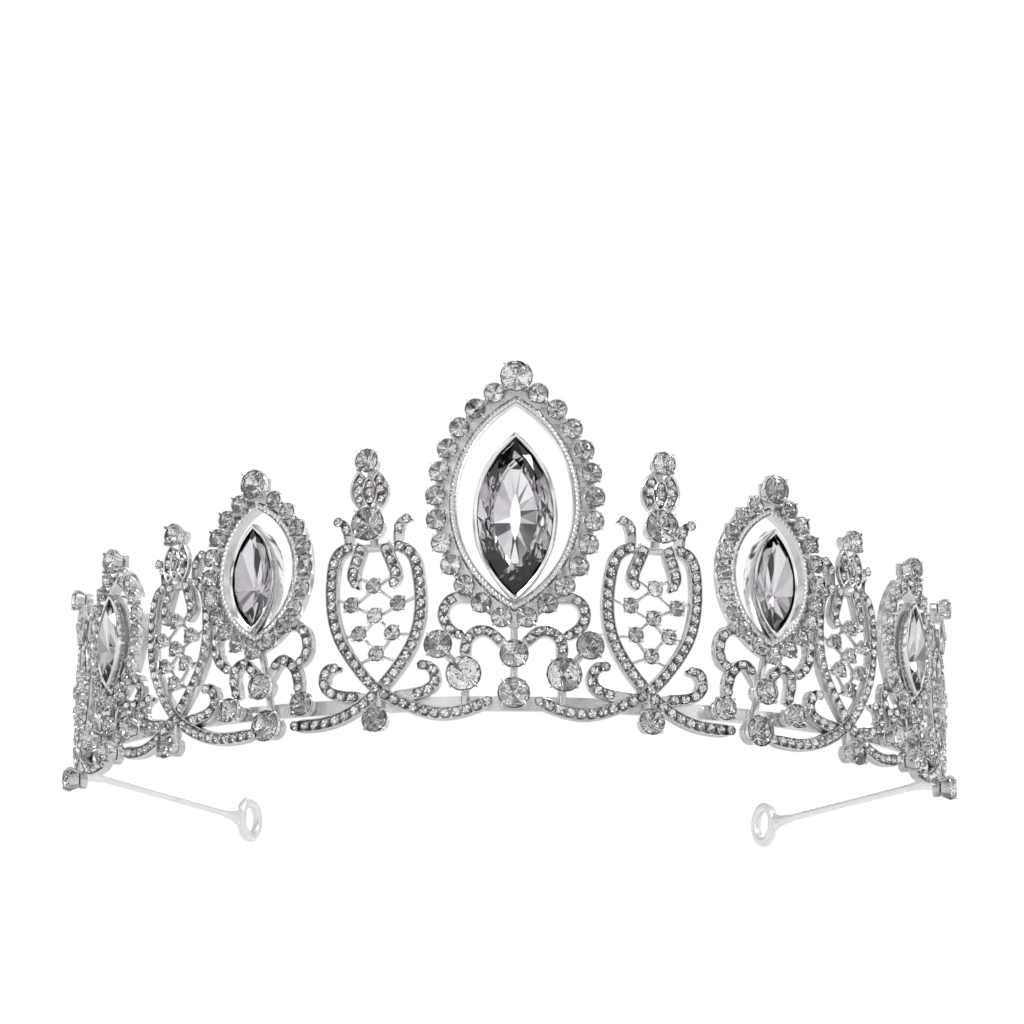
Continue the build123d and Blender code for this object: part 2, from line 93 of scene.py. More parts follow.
def silver(name, colour, shade, roughness, grain_mm, relief_mm):
    """Silver plate: metallic, two close tones in the plating, and a fine cast or tumbled grain."""
    material, tree, output = new_material(name)
    spot = add_node(tree, "ShaderNodeTexCoord").outputs["Object"]
    patches = add_node(tree, "ShaderNodeTexNoise", {"Vector": spot, "Scale": 1000 / (6 * grain_mm),
                                                    "Detail": 3.0})
    tone = add_node(tree, "ShaderNodeMix", {"Factor": patches.outputs["Fac"], 6: linear(shade),
                                            7: linear(colour)}, data_type="RGBA")
    grain = add_node(tree, "ShaderNodeTexNoise", {"Vector": spot, "Scale": 1000 / grain_mm,
                                                  "Detail": 2.0})
    relief = add_node(tree, "ShaderNodeBump", {"Height": grain.outputs["Fac"], "Strength": 0.5,
                                               "Distance": relief_mm / 1000})
    rough = add_node(tree, "ShaderNodeMapRange", {"Value": patches.outputs["Fac"],
                                                  "To Min": 0.7 * roughness,
                                                  "To Max": 1.3 * roughness})
    surface = add_node(tree, "ShaderNodeBsdfPrincipled",
                       {"Base Color": tone.outputs[2], "Metallic": 1.0,
                        "Roughness": rough.outputs["Result"], "Normal": relief.outputs["Normal"]})
    tree.links.new(surface.outputs[0], output.inputs["Surface"])
    return material


# bright plate over tumbled strip: soft reflections with a little grain
band_silver = silver("silver_plate_tumbled", "E6E5E4", "D3D2D4", 0.24, 0.35, 0.03)
band = nodes["base_band"]
band.data.materials.clear()
band.data.materials.append(band_silver)

band_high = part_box("base_band")[1]
mm = 0.001
casting = 1.2
back_face = band_high.x / mm          # the castings' back lies on the band's outer face
band_radius = back_face + casting / 2
front_face = back_face + casting


def on_head(points):
    """Metres from (arc, height, radius) in mm: the arc length is wrapped round the head circle."""
    turn = points[:, 0] / band_radius
    return np.stack([points[:, 2] * np.sin(turn), -points[:, 2] * np.cos(turn),
                     points[:, 1]], axis=1) * mm


# ==== Marquise rims ==================================================================
# Five pierced plates cast in zinc alloy and silver plated, one behind each halo.  The
# edge of the opening is a raised lip with milgrain, a row of rolled beads.

def shells_mesh(name, shells, materials, smooth=35.0):
    """One closed mesh from (points in metres, faces, material index) shells, normals outwards."""
    points, faces, slots, start = [], [], [], 0
    for shell_points, shell_faces, slot in shells:
        points.append(shell_points)
        faces += [[start + i for i in face] for face in shell_faces]
        slots += [slot] * len(shell_faces) if np.isscalar(slot) else list(slot)
        start += len(shell_points)
    mesh = bpy.data.meshes.new(name)
    mesh.from_pydata(np.concatenate(points).tolist(), [], faces)
    for material in materials:
        mesh.materials.append(material)
    mesh.polygons.foreach_set("material_index", slots)
    # painted reflections: each facet of a foiled stone gets a random dark or bright tone for its foil
    # colour
    if any("foil" in material.name for material in materials):
        pick = np.random.default_rng(len(faces))
        tones = np.where(pick.random(len(faces)) < 0.38, pick.uniform(0, 0.3, len(faces)),
                         pick.uniform(0.7, 1, len(faces)))
        mesh.attributes.new("painted_facet_reflection", "FLOAT", "FACE").data.foreach_set("value", tones)
    made = bpy.data.objects.new(name, mesh)
    bpy.context.scene.collection.objects.link(made)
    bpy.context.view_layer.objects.active = made
    made.select_set(True)
    bpy.ops.object.mode_set(mode="EDIT")
    bpy.ops.mesh.select_all(action="SELECT")
    bpy.ops.mesh.normals_make_consistent(inside=False)
    bpy.ops.object.mode_set(mode="OBJECT")
    if smooth:
        bpy.ops.object.shade_smooth_by_angle(angle=np.radians(smooth))
    made.select_set(False)
    return made


def grid_faces(rows, columns, ring_rows):
    """Quads of a rows x columns grid whose columns close on themselves, and its rows if asked."""
    r, c = np.meshgrid(np.arange(rows if ring_rows else rows - 1), np.arange(columns), indexing="ij")
    r, c = r.ravel(), c.ravel()
    after_r, after_c = (r + 1) % rows, (c + 1) % columns
    return np.stack([r * columns + c, after_r * columns + c, after_r * columns + after_c,
                     r * columns + after_c], axis=1).tolist()


def vesica(length, width, grow, middle, steps):
    """Closed pointed oval (u, z): two arcs of radius (L*L + W*W) / 4W, each grown outwards."""
    radius = (length ** 2 + width ** 2) / (4 * width)
    centre = radius - width / 2
    reach = radius + grow
    tip = np.arccos(centre / reach)
    angle = np.linspace(-tip, tip, steps, endpoint=False)
    right = np.stack([reach * np.cos(angle) - centre, reach * np.sin(angle) + middle], axis=1)
    left = np.stack([-right[:, 0], 2 * middle - right[:, 1]], axis=1)
    return np.concatenate([right, left])


def vesica_sweep(length, width, middle, profile, steps, ripple=None):
    """Carry a closed profile of (outward offset, radius) points round a vesica opening."""
    rings = [np.column_stack([vesica(length, width, grow, middle, steps),
                              np.full(2 * steps, radius)]) for grow, radius in profile]
    points = np.stack(rings, axis=1)
    if ripple is not None:
        beads, raised = ripple
        points[:, raised, 2] += beads[:, None]
    return points.reshape(-1, 3), grid_faces(2 * steps, len(profile), True)


def spline_path(points, step=0.35):
    """Natural cubic through the points by chord length, sampled at even steps."""
    points = np.array(points, float)
    knots = np.concatenate([[0], np.cumsum(np.hypot(*np.diff(points, axis=0).T))])
    gap = np.diff(knots)
    count = len(points)
    system, right = np.eye(count), np.zeros((count, 2))
    for i in range(1, count - 1):
        system[i, i - 1:i + 2] = gap[i - 1], 2 * (gap[i - 1] + gap[i]), gap[i]
        right[i] = 6 * ((points[i + 1] - points[i]) / gap[i] - (points[i] - points[i - 1]) / gap[i - 1])
    bend = np.linalg.solve(system, right)
    at = np.linspace(0, knots[-1], max(3, int(knots[-1] / step)))
    i = np.clip(np.searchsorted(knots, at, side="right") - 1, 0, count - 2)
    a, b, h = (knots[i + 1] - at)[:, None], (at - knots[i])[:, None], gap[i][:, None]
    return (bend[i] * a ** 3 + bend[i + 1] * b ** 3) / (6 * h) \
        + (points[i] / h - bend[i] * h / 6) * a + (points[i + 1] / h - bend[i + 1] * h / 6) * b


# cross-sections of the castings, as shares of the width and heights above the back face
channel = [(-0.50, 0.0), (-0.50, 1.02), (-0.46, 1.18), (-0.40, 1.18), (-0.36, 0.60), (0.36, 0.60),
           (0.40, 1.18), (0.46, 1.18), (0.50, 1.02), (0.50, 0.0)]
round_bar = [(-0.34, 0.0), (-0.5, 0.3), (-0.5, 0.75), (-0.3, 1.1), (0.0, 1.2), (0.3, 1.1),
             (0.5, 0.75), (0.5, 0.3), (0.34, 0.0)]
wire = [(-0.25, 0.0), (-0.5, 0.22), (-0.5, 0.42), (-0.25, 0.6), (0.25, 0.6), (0.5, 0.42),
        (0.5, 0.22), (0.25, 0.0)]


def strip(path, width, profile, taper=(1.0, 1.0), lift=0.0):
    """Sweep a section along a (u, z) path; the width narrows to the taper at each end."""
    path = np.asarray(path, float)
    along = np.gradient(path, axis=0)
    along /= np.linalg.norm(along, axis=1)[:, None]
    side = np.stack([-along[:, 1], along[:, 0]], axis=1)
    run = np.concatenate([[0], np.cumsum(np.linalg.norm(np.diff(path, axis=0), axis=1))])
    ends = [np.clip(run / 2.2, 0, 1), np.clip((run[-1] - run) / 2.2, 0, 1)]
    size = width * np.prod([t + (1 - t) * np.sin(e * np.pi / 2) for t, e in zip(taper, ends)], axis=0)
    profile = np.array(profile)
    across = path[:, None, :] + side[:, None, :] * (size[:, None] * profile[:, 0])[..., None]
    height = np.broadcast_to(back_face + lift + profile[:, 1], across.shape[:2])
    points = np.concatenate([across, height[..., None]], axis=2).reshape(-1, 3)
    columns = len(profile)
    faces = grid_faces(len(path), columns, False)
    faces += [list(range(columns)), list(range(len(points) - columns, len(points)))]
    return points, faces


def disc(u, z, radius, low, high, sides=20):
    """Round boss with a softened edge, from one height to another above the back face."""
    turn = np.arange(sides) * 2 * np.pi / sides
    rings = [(0.94, low), (1.0, low + 0.12), (1.0, high - 0.15), (0.9, high)]
    points = np.concatenate([np.column_stack([u + radius * k * np.cos(turn),
                                              z + radius * k * np.sin(turn),
                                              np.full(sides, back_face + h)]) for k, h in rings])
    faces = grid_faces(len(rings), sides, False)
    return points, faces + [list(range(sides)), list(range(len(points) - sides, len(points)))]


def line(start, end):
    """Straight path in a few steps."""
    return np.linspace(start, end, 5)


def placed(shells, hand, arc, lean=0.0, root=0.0):
    """Lean (u, z, radius) shells outwards above a root, mirror them and wrap them on the head."""
    made = []
    for points, faces, slot in shells:
        points = points.copy()
        points[:, 0] += lean * np.maximum(0, points[:, 1] - root)
        points[:, 0] = hand * (arc + points[:, 0])
        made.append((on_head(points), faces, slot))
    return made


# arc, height of the base stone, rise from it to the opening, the opening, the stone, the
# halo's offset, places of the side stones, spread of the scrolls and lean of the base unit
panels = [
    dict(name="centre", hands=(1,), arc=0.0, base=6.0, rise=13.5, opening=(29.7, 17.0),
         stone=(23.7, 11.2), halo=2.9, side=(7.0, 2.8), outer=(10.7, 7.2), spread=1.0,
         lean=0.0),
    dict(name="front", hands=(-1, 1), arc=39.7, base=2.4, rise=14.1, opening=(18.8, 12.4),
         stone=(15.0, 7.0), halo=2.45, side=(6.2, 2.9), outer=None, spread=0.8, lean=0.22),
    dict(name="side", hands=(-1, 1), arc=73.0, base=2.2, rise=10.0, opening=(16.5, 10.8),
         stone=(13.3, 6.4), halo=2.2, side=(6.3, 2.9), outer=None, spread=0.74, lean=0.0),
]
hand_name = {-1: "left_", 1: "right_"}


def panel_nodes(panel, part):
    """(hand, node name) of one kind of part in a panel."""
    if len(panel["hands"]) == 1:
        return [(1, f"{panel['name']}_{part}")]
    return [(hand, f"{hand_name[hand]}{panel['name']}_{part}") for hand in panel["hands"]]


def stand_in(piece, slot, *names):
    """The piece rides on the tiara and replaces its CAD nodes; the slot is not used."""
    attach(piece, "root")
    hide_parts(*names)


cast_silver = silver("silver_plated_zinc_casting", "E9E8E6", "C9C8CB", 0.20, 0.28, 0.06)
milgrain_pitch, lip = 0.62, 1.1
for panel in panels:
    length, width = panel["opening"]
    middle = panel["base"] + panel["rise"] + length / 2
    plate = panel["halo"] + 0.5
    steps = int(1.15 * length / milgrain_pitch) * 5
    bead = 0.16 * np.abs(np.sin(np.arange(2 * steps) * np.pi / 5))
    profile = [(0.0, back_face + 0.1), (0.0, front_face + 0.42), (0.14, front_face + 0.55),
               (0.30, front_face + 0.38), (0.42, front_face + 0.34), (0.66, front_face + 0.42),
               (0.90, front_face + 0.34), (lip, front_face + 0.15), (lip + 0.05, front_face),
               (plate - 0.15, front_face), (plate, front_face - 0.2), (plate, back_face + 0.1),
               (plate - 0.1, back_face), (0.1, back_face)]
    sweep = vesica_sweep(length, width, middle, profile, steps, (bead, slice(4, 7)))
    for hand, node in panel_nodes(panel, "rim"):
        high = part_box(node)[1].z / mm
        tongue = strip(line((0, middle + length / 2 + 0.6), (0, high - 0.8)), 2.6, round_bar)
        shells = [(*sweep, 0), (*tongue, 0)]
        stand_in(shells_mesh(f"{node}_casting", placed(shells, hand, panel["arc"]), [cast_silver]),
                 "cast_silver", node)


# ==== Bezels =========================================================================
# Stamped tin cups that hold the marquise stones, with a narrow burnished front edge.
# Each stands proud of its rim and is soldered at the lower tip alone.

def tip_height(panel, grow):
    """Half height of the stone's vesica grown outwards: the far crossing of its two arcs."""
    length, width = panel["stone"]
    radius = (length ** 2 + width ** 2) / (4 * width)
    return np.sqrt((radius + grow) ** 2 - (radius - width / 2) ** 2)


def flat_on(points, hand, arc):
    """Metres from (u, z, radius) on the flat plane that touches the head circle at an arc."""
    turn = hand * arc / band_radius
    u = hand * points[:, 0]
    return np.stack([points[:, 2] * np.sin(turn) + u * np.cos(turn),
                     -points[:, 2] * np.cos(turn) + u * np.sin(turn), points[:, 1]], axis=1) * mm


bezel_wall, bezel_front = 0.6, back_face + 3.0
girdle_drop = 0.5                     # from the bezel's front edge back to the stone's girdle
bezel_silver = silver("silver_plated_stamping", "EDEDEE", "DCDCDF", 0.13, 0.6, 0.012)
for panel in panels:
    length, width = panel["stone"]
    middle = panel["base"] + panel["rise"] + tip_height(panel, bezel_wall)
    profile = [(-0.25 * width, back_face), (bezel_wall - 0.15, back_face),
               (bezel_wall, back_face + 0.15), (bezel_wall, bezel_front - 0.3),
               (bezel_wall - 0.12, bezel_front - 0.05),
               (bezel_wall - 0.3, bezel_front), (0.02, bezel_front - 0.12), (0.1, bezel_front - 0.45),
               (0.1, back_face + 0.5), (-0.25 * width, back_face + 0.5)]
    steps = 40
    points, faces = vesica_sweep(length, width, middle, profile, steps)
    # the back plate closes the cup: the sweep's two innermost rings get a floor each
    columns = len(profile)
    faces = [f for f in faces if not {f[0] % columns, f[3] % columns} == {0, columns - 1}]
    faces += [[i * columns for i in range(2 * steps)],
              [i * columns + columns - 1 for i in range(2 * steps)]]
    for hand, node in panel_nodes(panel, "bezel"):
        stand_in(shells_mesh(f"{node}_cup", [(flat_on(points, hand, panel["arc"]), faces, 0)],
                             [bezel_silver]), "polished_silver", node)


# ==== Marquise stones ================================================================
# Pressed and polished lead glass navettes, foiled at the back.  The table is long, with kite facets
# round it, and the foil on the pavilion behind carries painted reflections: each facet is painted dark
# or bright.

def crystal(name, tint):
    """Clear lead glass, polished: the index of crystal glass and a faint tint of its own."""
    material, tree, output = new_material(name)
    glass = add_node(tree, "ShaderNodeBsdfPrincipled",
                     {"Base Color": linear(tint), "Roughness": 0.0, "IOR": 1.58,
                      "Transmission Weight": 1.0})
    tree.links.new(glass.outputs[0], output.inputs["Surface"])
    return material


def foil(name, light, dark, patch_mm):
    """Mirror foil on the pavilion: a painted reflection on each facet, set dark or bright, over a
    slightly uneven silver coat.
    """
    material, tree, output = new_material(name)
    spot = add_node(tree, "ShaderNodeTexCoord").outputs["Object"]
    cells = add_node(tree, "ShaderNodeTexNoise", {"Vector": spot, "Scale": 1000 / patch_mm,
                                                  "Detail": 1.0})
    # painted reflections: each facet's dark or bright tone stands in for the light that facet throws
    # back
    facet = add_node(tree, "ShaderNodeAttribute", attribute_name="painted_facet_reflection").outputs["Fac"]
    share = add_node(tree, "ShaderNodeMath", {0: cells.outputs["Fac"], 1: 0.3}, operation="MULTIPLY")
    painted_reflection_and_silvering = add_node(tree, "ShaderNodeMath", {0: facet, 1: 0.85, 2: share.outputs[0]},
                         operation="MULTIPLY_ADD")
    # foil colour from dark to light: painted facet reflection plus a small share of uneven silver coat
    tone = add_node(tree, "ShaderNodeMix", {"Factor": painted_reflection_and_silvering.outputs[0], 6: linear(dark),
                                            7: linear(light)}, data_type="RGBA")
    mirror = add_node(tree, "ShaderNodeBsdfPrincipled",
                      {"Base Color": tone.outputs[2], "Metallic": 1.0, "Roughness": 0.06})
    tree.links.new(mirror.outputs[0], output.inputs["Surface"])
    return material


crystal_glass = crystal("lead_glass_polished", "FCFCFE")
# the light and dark colours of each foil are the two ends of its painted facet reflections
stone_foil = foil("mirror_foil_painted_reflections", "F1EFF1", "ABA6AA", 2.2)
chaton_foil = foil("mirror_foil_chaton_painted_reflections", "FFFFFF", "746E69", 1.1)
pave_foil = foil("mirror_foil_pave_painted_reflections", "FBF8F4", "5A5450", 0.9)


def ring_bands(rings):
    """Facets between rings of points: equal counts give staggered triangles, a point gives a fan."""
    starts = np.concatenate([[0], np.cumsum([len(r) for r in rings])])
    faces = []
    for k in range(len(rings) - 1):
        n, m, a, b = len(rings[k]), len(rings[k + 1]), starts[k], starts[k + 1]
        if m == 1:
            faces += [[a + i, a + (i + 1) % n, b] for i in range(n)]
        elif n == 1:
            faces += [[a, b + i, b + (i + 1) % m] for i in range(m)]
        elif n == 2 * m:
            for i in range(m):
                faces += [[a + 2 * i, a + 2 * i + 1, b + i],
                          [a + 2 * i + 1, a + (2 * i + 2) % n, b + i],
                          [a + (2 * i + 2) % n, b + (i + 1) % m, b + i]]
        elif m == 2 * n:
            for i in range(n):
                faces += [[a + i, b + 2 * i, b + 2 * i + 1],
                          [a + i, b + 2 * i + 1, b + (2 * i + 2) % m],
                          [a + i, b + (2 * i + 2) % m, a + (i + 1) % n]]
        else:
            for i in range(n):
                faces += [[a + i, a + (i + 1) % n, b + i], [a + (i + 1) % n, b + (i + 1) % n, b + i]]
    return faces


def vesica_ring(size, share, middle, radius, count, shift=0.0):
    """Points of a share of the stone's vesica at even turns, starting at its lower tip."""
    fine = vesica(size[0] * share[0], size[1] * share[1], 0.0, middle, 200)
    at = ((np.arange(count) + shift) * 400 / count).astype(int) % 400
    return np.column_stack([fine[at], np.full(count, radius)])


for panel in panels:
    size = panel["stone"]
    middle = panel["base"] + panel["rise"] + tip_height(panel, bezel_wall)
    girdle = bezel_front - girdle_drop
    crown = 0.16 * size[1]
    floor = back_face + 0.62
    count = 16 if panel["name"] == "centre" else 10
    if panel["name"] == "centre":
        back = [vesica_ring(size, (0.30, 0.14), middle, floor, count),
                vesica_ring(size, (0.66, 0.56), middle, floor + 0.36 * (girdle - floor), count, 0.5)]
        front = [vesica_ring(size, (0.84, 0.80), middle, girdle + 0.55 * crown, count, 0.5),
                 vesica_ring(size, (0.66, 0.58), middle, girdle + crown, count)]
    else:
        back = [np.array([[0.0, middle - 0.12 * size[0], floor]])]
        front = [vesica_ring(size, (0.80, 0.74), middle, girdle + crown, count)]
    rings = back + [vesica_ring(size, (1.0, 1.0), middle, girdle, count),
                    vesica_ring(size, (0.985, 0.985), middle, girdle + 0.12, count)] + front
    faces = ring_bands(rings)
    points = np.concatenate(rings)
    total, last_foiled = len(points), sum(len(r) for r in back) + count
    if panel["name"] == "centre":
        faces.append(list(range(count)))
    faces.append(list(range(total - count, total)))
    slots = [1 if max(f) < last_foiled else 0 for f in faces]
    for hand, node in panel_nodes(panel, "marquise"):
        stand_in(shells_mesh(f"{node}_stone", [(flat_on(points, hand, panel["arc"]), faces, slots)],
                             [crystal_glass, stone_foil], smooth=0), "clear_crystal", node)


# ==== Round stones and their claw settings ===========================================
# Machine-cut glass chatons, foiled behind, in cast cups whose four claws are pushed over
# the crown.  One stone and one cup are worked out and set at every place in the frame.

def islands(node):
    """Middle (arc, height), lowest radius and diameter in mm of each solid of a stone node."""
    mesh = nodes[node].data
    spots = np.empty(3 * len(mesh.vertices))
    mesh.vertices.foreach_get("co", spots)
    spots = spots.reshape(-1, 3) / mm
    corners = np.empty(len(mesh.loops), int)
    mesh.loops.foreach_get("vertex_index", corners)
    unique, merged = np.unique(np.round(spots, 3), axis=0, return_inverse=True)
    triangles = merged.ravel()[corners].reshape(-1, 3)
    label = np.arange(len(unique))
    while True:
        lower = label.copy()
        np.minimum.at(lower, triangles.ravel(), np.repeat(label[triangles].min(axis=1), 3))
        lower = lower[lower]
        if (lower == label).all():
            break
        label = lower
    found = []
    for mark in np.unique(label):
        group = unique[label == mark]
        turn = np.arctan2(group[:, 0].mean(), -group[:, 1].mean())
        depth = group[:, 0] * np.sin(turn) - group[:, 1] * np.cos(turn)
        low, high = group[:, 2].min(), group[:, 2].max()
        found.append((turn * band_radius, (low + high) / 2, depth.min(), high - low))
    return np.array(found)


def circle_ring(radius, height, count, shift=0.0):
    """Points at even turns on a circle of one height; shift moves them by shares of a turn."""
    turn = (np.arange(count) + shift) * 2 * np.pi / count
    return np.column_stack([radius * np.cos(turn), radius * np.sin(turn), np.full(count, height)])


# chaton of unit diameter: culet, girdle, crown break, table; its back is a star of 16 facets
chaton_rings = [circle_ring(0.0, 0.0, 1), circle_ring(0.5, 0.42, 16, 0.5),
                circle_ring(0.5, 0.455, 16, 0.5), circle_ring(0.41, 0.54, 8, 0.0),
                circle_ring(0.27, 0.62, 8, 0.5)]
chaton_points = np.concatenate(chaton_rings)
chaton_faces = ring_bands(chaton_rings) + [list(range(len(chaton_points) - 8, len(chaton_points)))]
chaton_slots = [1 if max(f) < 17 else 0 for f in chaton_faces]

cup_wall, claw, clearance = 0.2, 0.34, 0.08
seat_lift = cup_wall + clearance      # the culet above the back of its cup


def cup_shape(diameter):
    """Tapered cup as a lathe turned 16 steps, and four claws that lean in over the crown."""
    outer, inner = diameter / 2 + cup_wall, diameter / 2 + clearance
    rim = cup_wall + 0.42 * diameter + clearance
    rings = [circle_ring(0.55 * outer, 0.0, 16), circle_ring(0.72 * outer, 0.12 * rim, 16),
             circle_ring(0.97 * outer, 0.82 * rim, 16), circle_ring(outer, 0.94 * rim, 16),
             circle_ring(outer - 0.06, rim, 16), circle_ring(inner, rim - 0.02, 16),
             circle_ring(0.2 * inner, cup_wall, 16)]
    points = np.concatenate(rings)
    faces = grid_faces(len(rings), 16, False)
    faces += [list(range(16)), list(range(len(points) - 16, len(points)))]
    shells = [(points, faces)]
    top = rim + 0.16 * diameter
    half = claw / 2
    stations = [(0.62 * outer, outer * 0.78, 0.05 * rim, half), (inner, inner + claw, 0.75 * rim, half),
                (inner - 0.02, inner + claw, rim + 0.04 * diameter, half),
                (inner - 0.09 * diameter - 0.05, inner + 0.5 * claw, top - 0.03, 0.75 * half),
                (inner - 0.10 * diameter - 0.05, inner + 0.1 * claw, top, 0.5 * half)]
    for quarter in range(4):
        turn = np.pi / 4 + quarter * np.pi / 2
        c, s = np.cos(turn), np.sin(turn)
        rows = [[(a, -w, h), (b, -w * 0.7, h), (b, w * 0.7, h), (a, w, h)] for a, b, h, w in stations]
        local = np.array(rows).reshape(-1, 3)
        turned = np.column_stack([local[:, 0] * c - local[:, 1] * s, local[:, 0] * s + local[:, 1] * c,
                                  local[:, 2]])
        claw_faces = grid_faces(len(stations), 4, False) + [[0, 1, 2, 3], [16, 17, 18, 19]]
        shells.append((turned, claw_faces))
    return shells


def set_at(points, arc, height, radius):
    """Metres from (u, z, out) on the flat plane at an arc, a height and a radius."""
    moved = points + np.array([0, height, radius])
    return flat_on(moved, 1.0, arc)


def chatons(places):
    """Shells of a chaton at each (arc, height, lowest radius, diameter), each turned a little."""
    shells = []
    for number, (arc, height, radius, diameter) in enumerate(places):
        turn = 2.4 * number
        c, s = np.cos(turn), np.sin(turn)
        local = chaton_points * diameter
        local = np.column_stack([local[:, 0] * c - local[:, 1] * s, local[:, 0] * s + local[:, 1] * c,
                                 local[:, 2]])
        shells.append((set_at(local, arc, height, radius), chaton_faces, chaton_slots))
    return shells


def cups(places):
    """Shells of a claw cup under each stone: its floor is one seat lift below the culet."""
    shells = []
    for arc, height, radius, diameter in places:
        shells += [(set_at(points, arc, height, radius - seat_lift), faces, 0)
                   for points, faces in cup_shape(diameter)]
    return shells


claw_silver = silver("silver_plated_claw_setting", "EAE9E7", "CBCACD", 0.16, 0.4, 0.02)
stone_groups = [(s, s.replace("_stones", "_settings")) for s in sorted(nodes) if s.endswith("_stones")]
for stone_node, cup_node in stone_groups:
    places = islands(stone_node)
    stand_in(shells_mesh(f"{stone_node}_chatons", chatons(places), [crystal_glass, chaton_foil],
                         smooth=0), "clear_crystal", stone_node)
    stand_in(shells_mesh(f"{cup_node}_claw_cups", cups(places), [claw_silver]),
             "polished_silver", cup_node)


# ==== Scroll frames ==================================================================
# One casting under each rim: four pave scrolls, a stem and the backs of the base stones.
# Small chatons are glued in the scrolls' channels.  Casting and chatons are one piece.

pave_size, pave_pitch, pave_seat = 1.46, 1.58, back_face + 0.66


def pave(path, avoid, size=pave_size, pitch=pave_pitch, lift=0.0):
    """Places of small stones at even steps along a path, clear of each avoided (u, z, room)."""
    run = np.concatenate([[0], np.cumsum(np.linalg.norm(np.diff(path, axis=0), axis=1))])
    count = max(1, int(run[-1] / pitch))
    at = (np.arange(count) + 0.5) * run[-1] / count
    spots = np.column_stack([np.interp(at, run, path[:, 0]), np.interp(at, run, path[:, 1])])
    kept = []
    for u, z in spots:
        if all(np.hypot(u - a, z - b) > room for a, b, room in avoid):
            kept.append((u, z, pave_seat + lift, size))
            avoid.append((u, z, 0.92 * size))
    return kept


def pave_on_head(places, hand, arc, lean=0.0, root=0.0):
    """Lean, mirror and move pave places to arcs on the head circle."""
    return [(hand * (arc + u + lean * max(0.0, z - root)), z, r, d) for u, z, r, d in places]


base_places = islands("scroll_stones")
for panel in panels:
    rise, spread, base = panel["rise"] / panels[0]["rise"], panel["spread"], panel["base"]

    def leant(u, z):
        """The base unit leans towards the front of the tiara below the opening."""
        return u - panel["lean"] * max(0.0, base + panel["rise"] - z), z

    for hand, node in panel_nodes(panel, "scroll_frame"):
        near = base_places[np.abs(base_places[:, 0] - hand * panel["arc"]) < 13.0]
        stones = [(hand * (s - hand * panel["arc"]), z, d) for s, z, r, d in near]
        shells, jewels = [], []
        avoid = [(u, z, d / 2 + 0.95) for u, z, d in stones]
        halo = islands(node.replace("scroll_frame", "halo_stones"))
        avoid += [(hand * (s - hand * panel["arc"]), z, d / 2 + 0.85) for s, z, r, d in halo]
        for way in (1, -1):
            upper = [(5.4, 13.6), (7.1, 14.4), (9.3, 14.0), (10.3, 11.9), (9.4, 9.9), (7.2, 8.6)]
            lower = [(0.8, 6.6), (2.3, 8.3), (4.3, 9.5), (6.3, 8.7), (7.0, 6.9), (6.7, 4.6)]
            for points, taper in ((upper, (0.35, 0.6)), (lower, (0.5, 0.7))):
                path = spline_path([leant(way * spread * u, base + rise * v) for u, v in points])
                shells.append((*strip(path, 1.75, channel, taper), 0))
                jewels += pave(path, avoid)
            side = leant(way * panel["side"][0], base + panel["side"][1])
            shells.append((*strip(line((side[0], 4.6), side), 1.2, round_bar, lift=-0.02), 0))
            if panel["outer"]:
                outer = (way * panel["outer"][0], base + panel["outer"][1])
                shells.append((*strip(line(side, outer), 1.1, round_bar, lift=-0.02), 0))
        top = base + panel["rise"] - 1.6
        shells.append((*strip(line(leant(0, base), leant(0, top)), 1.1, round_bar, lift=-0.04), 0))
        shells += [(*disc(u, z, 0.40 * d, 0.0, casting), 0) for u, z, d in stones]
        solid = placed(shells, hand, panel["arc"])
        solid += [(p, f, [1 + s for s in slots])
                  for p, f, slots in chatons(pave_on_head(jewels, hand, panel["arc"]))]
        stand_in(shells_mesh(f"{node}_casting", solid, [cast_silver, crystal_glass, pave_foil]),
                 "cast_silver", node)


# ==== Oval ribbon panels =============================================================
# Two channelled ribbons cross under each oval and run on as tails along the band, with
# hooks at the top and beside the crossing and two leaves inside, all cast in one piece.

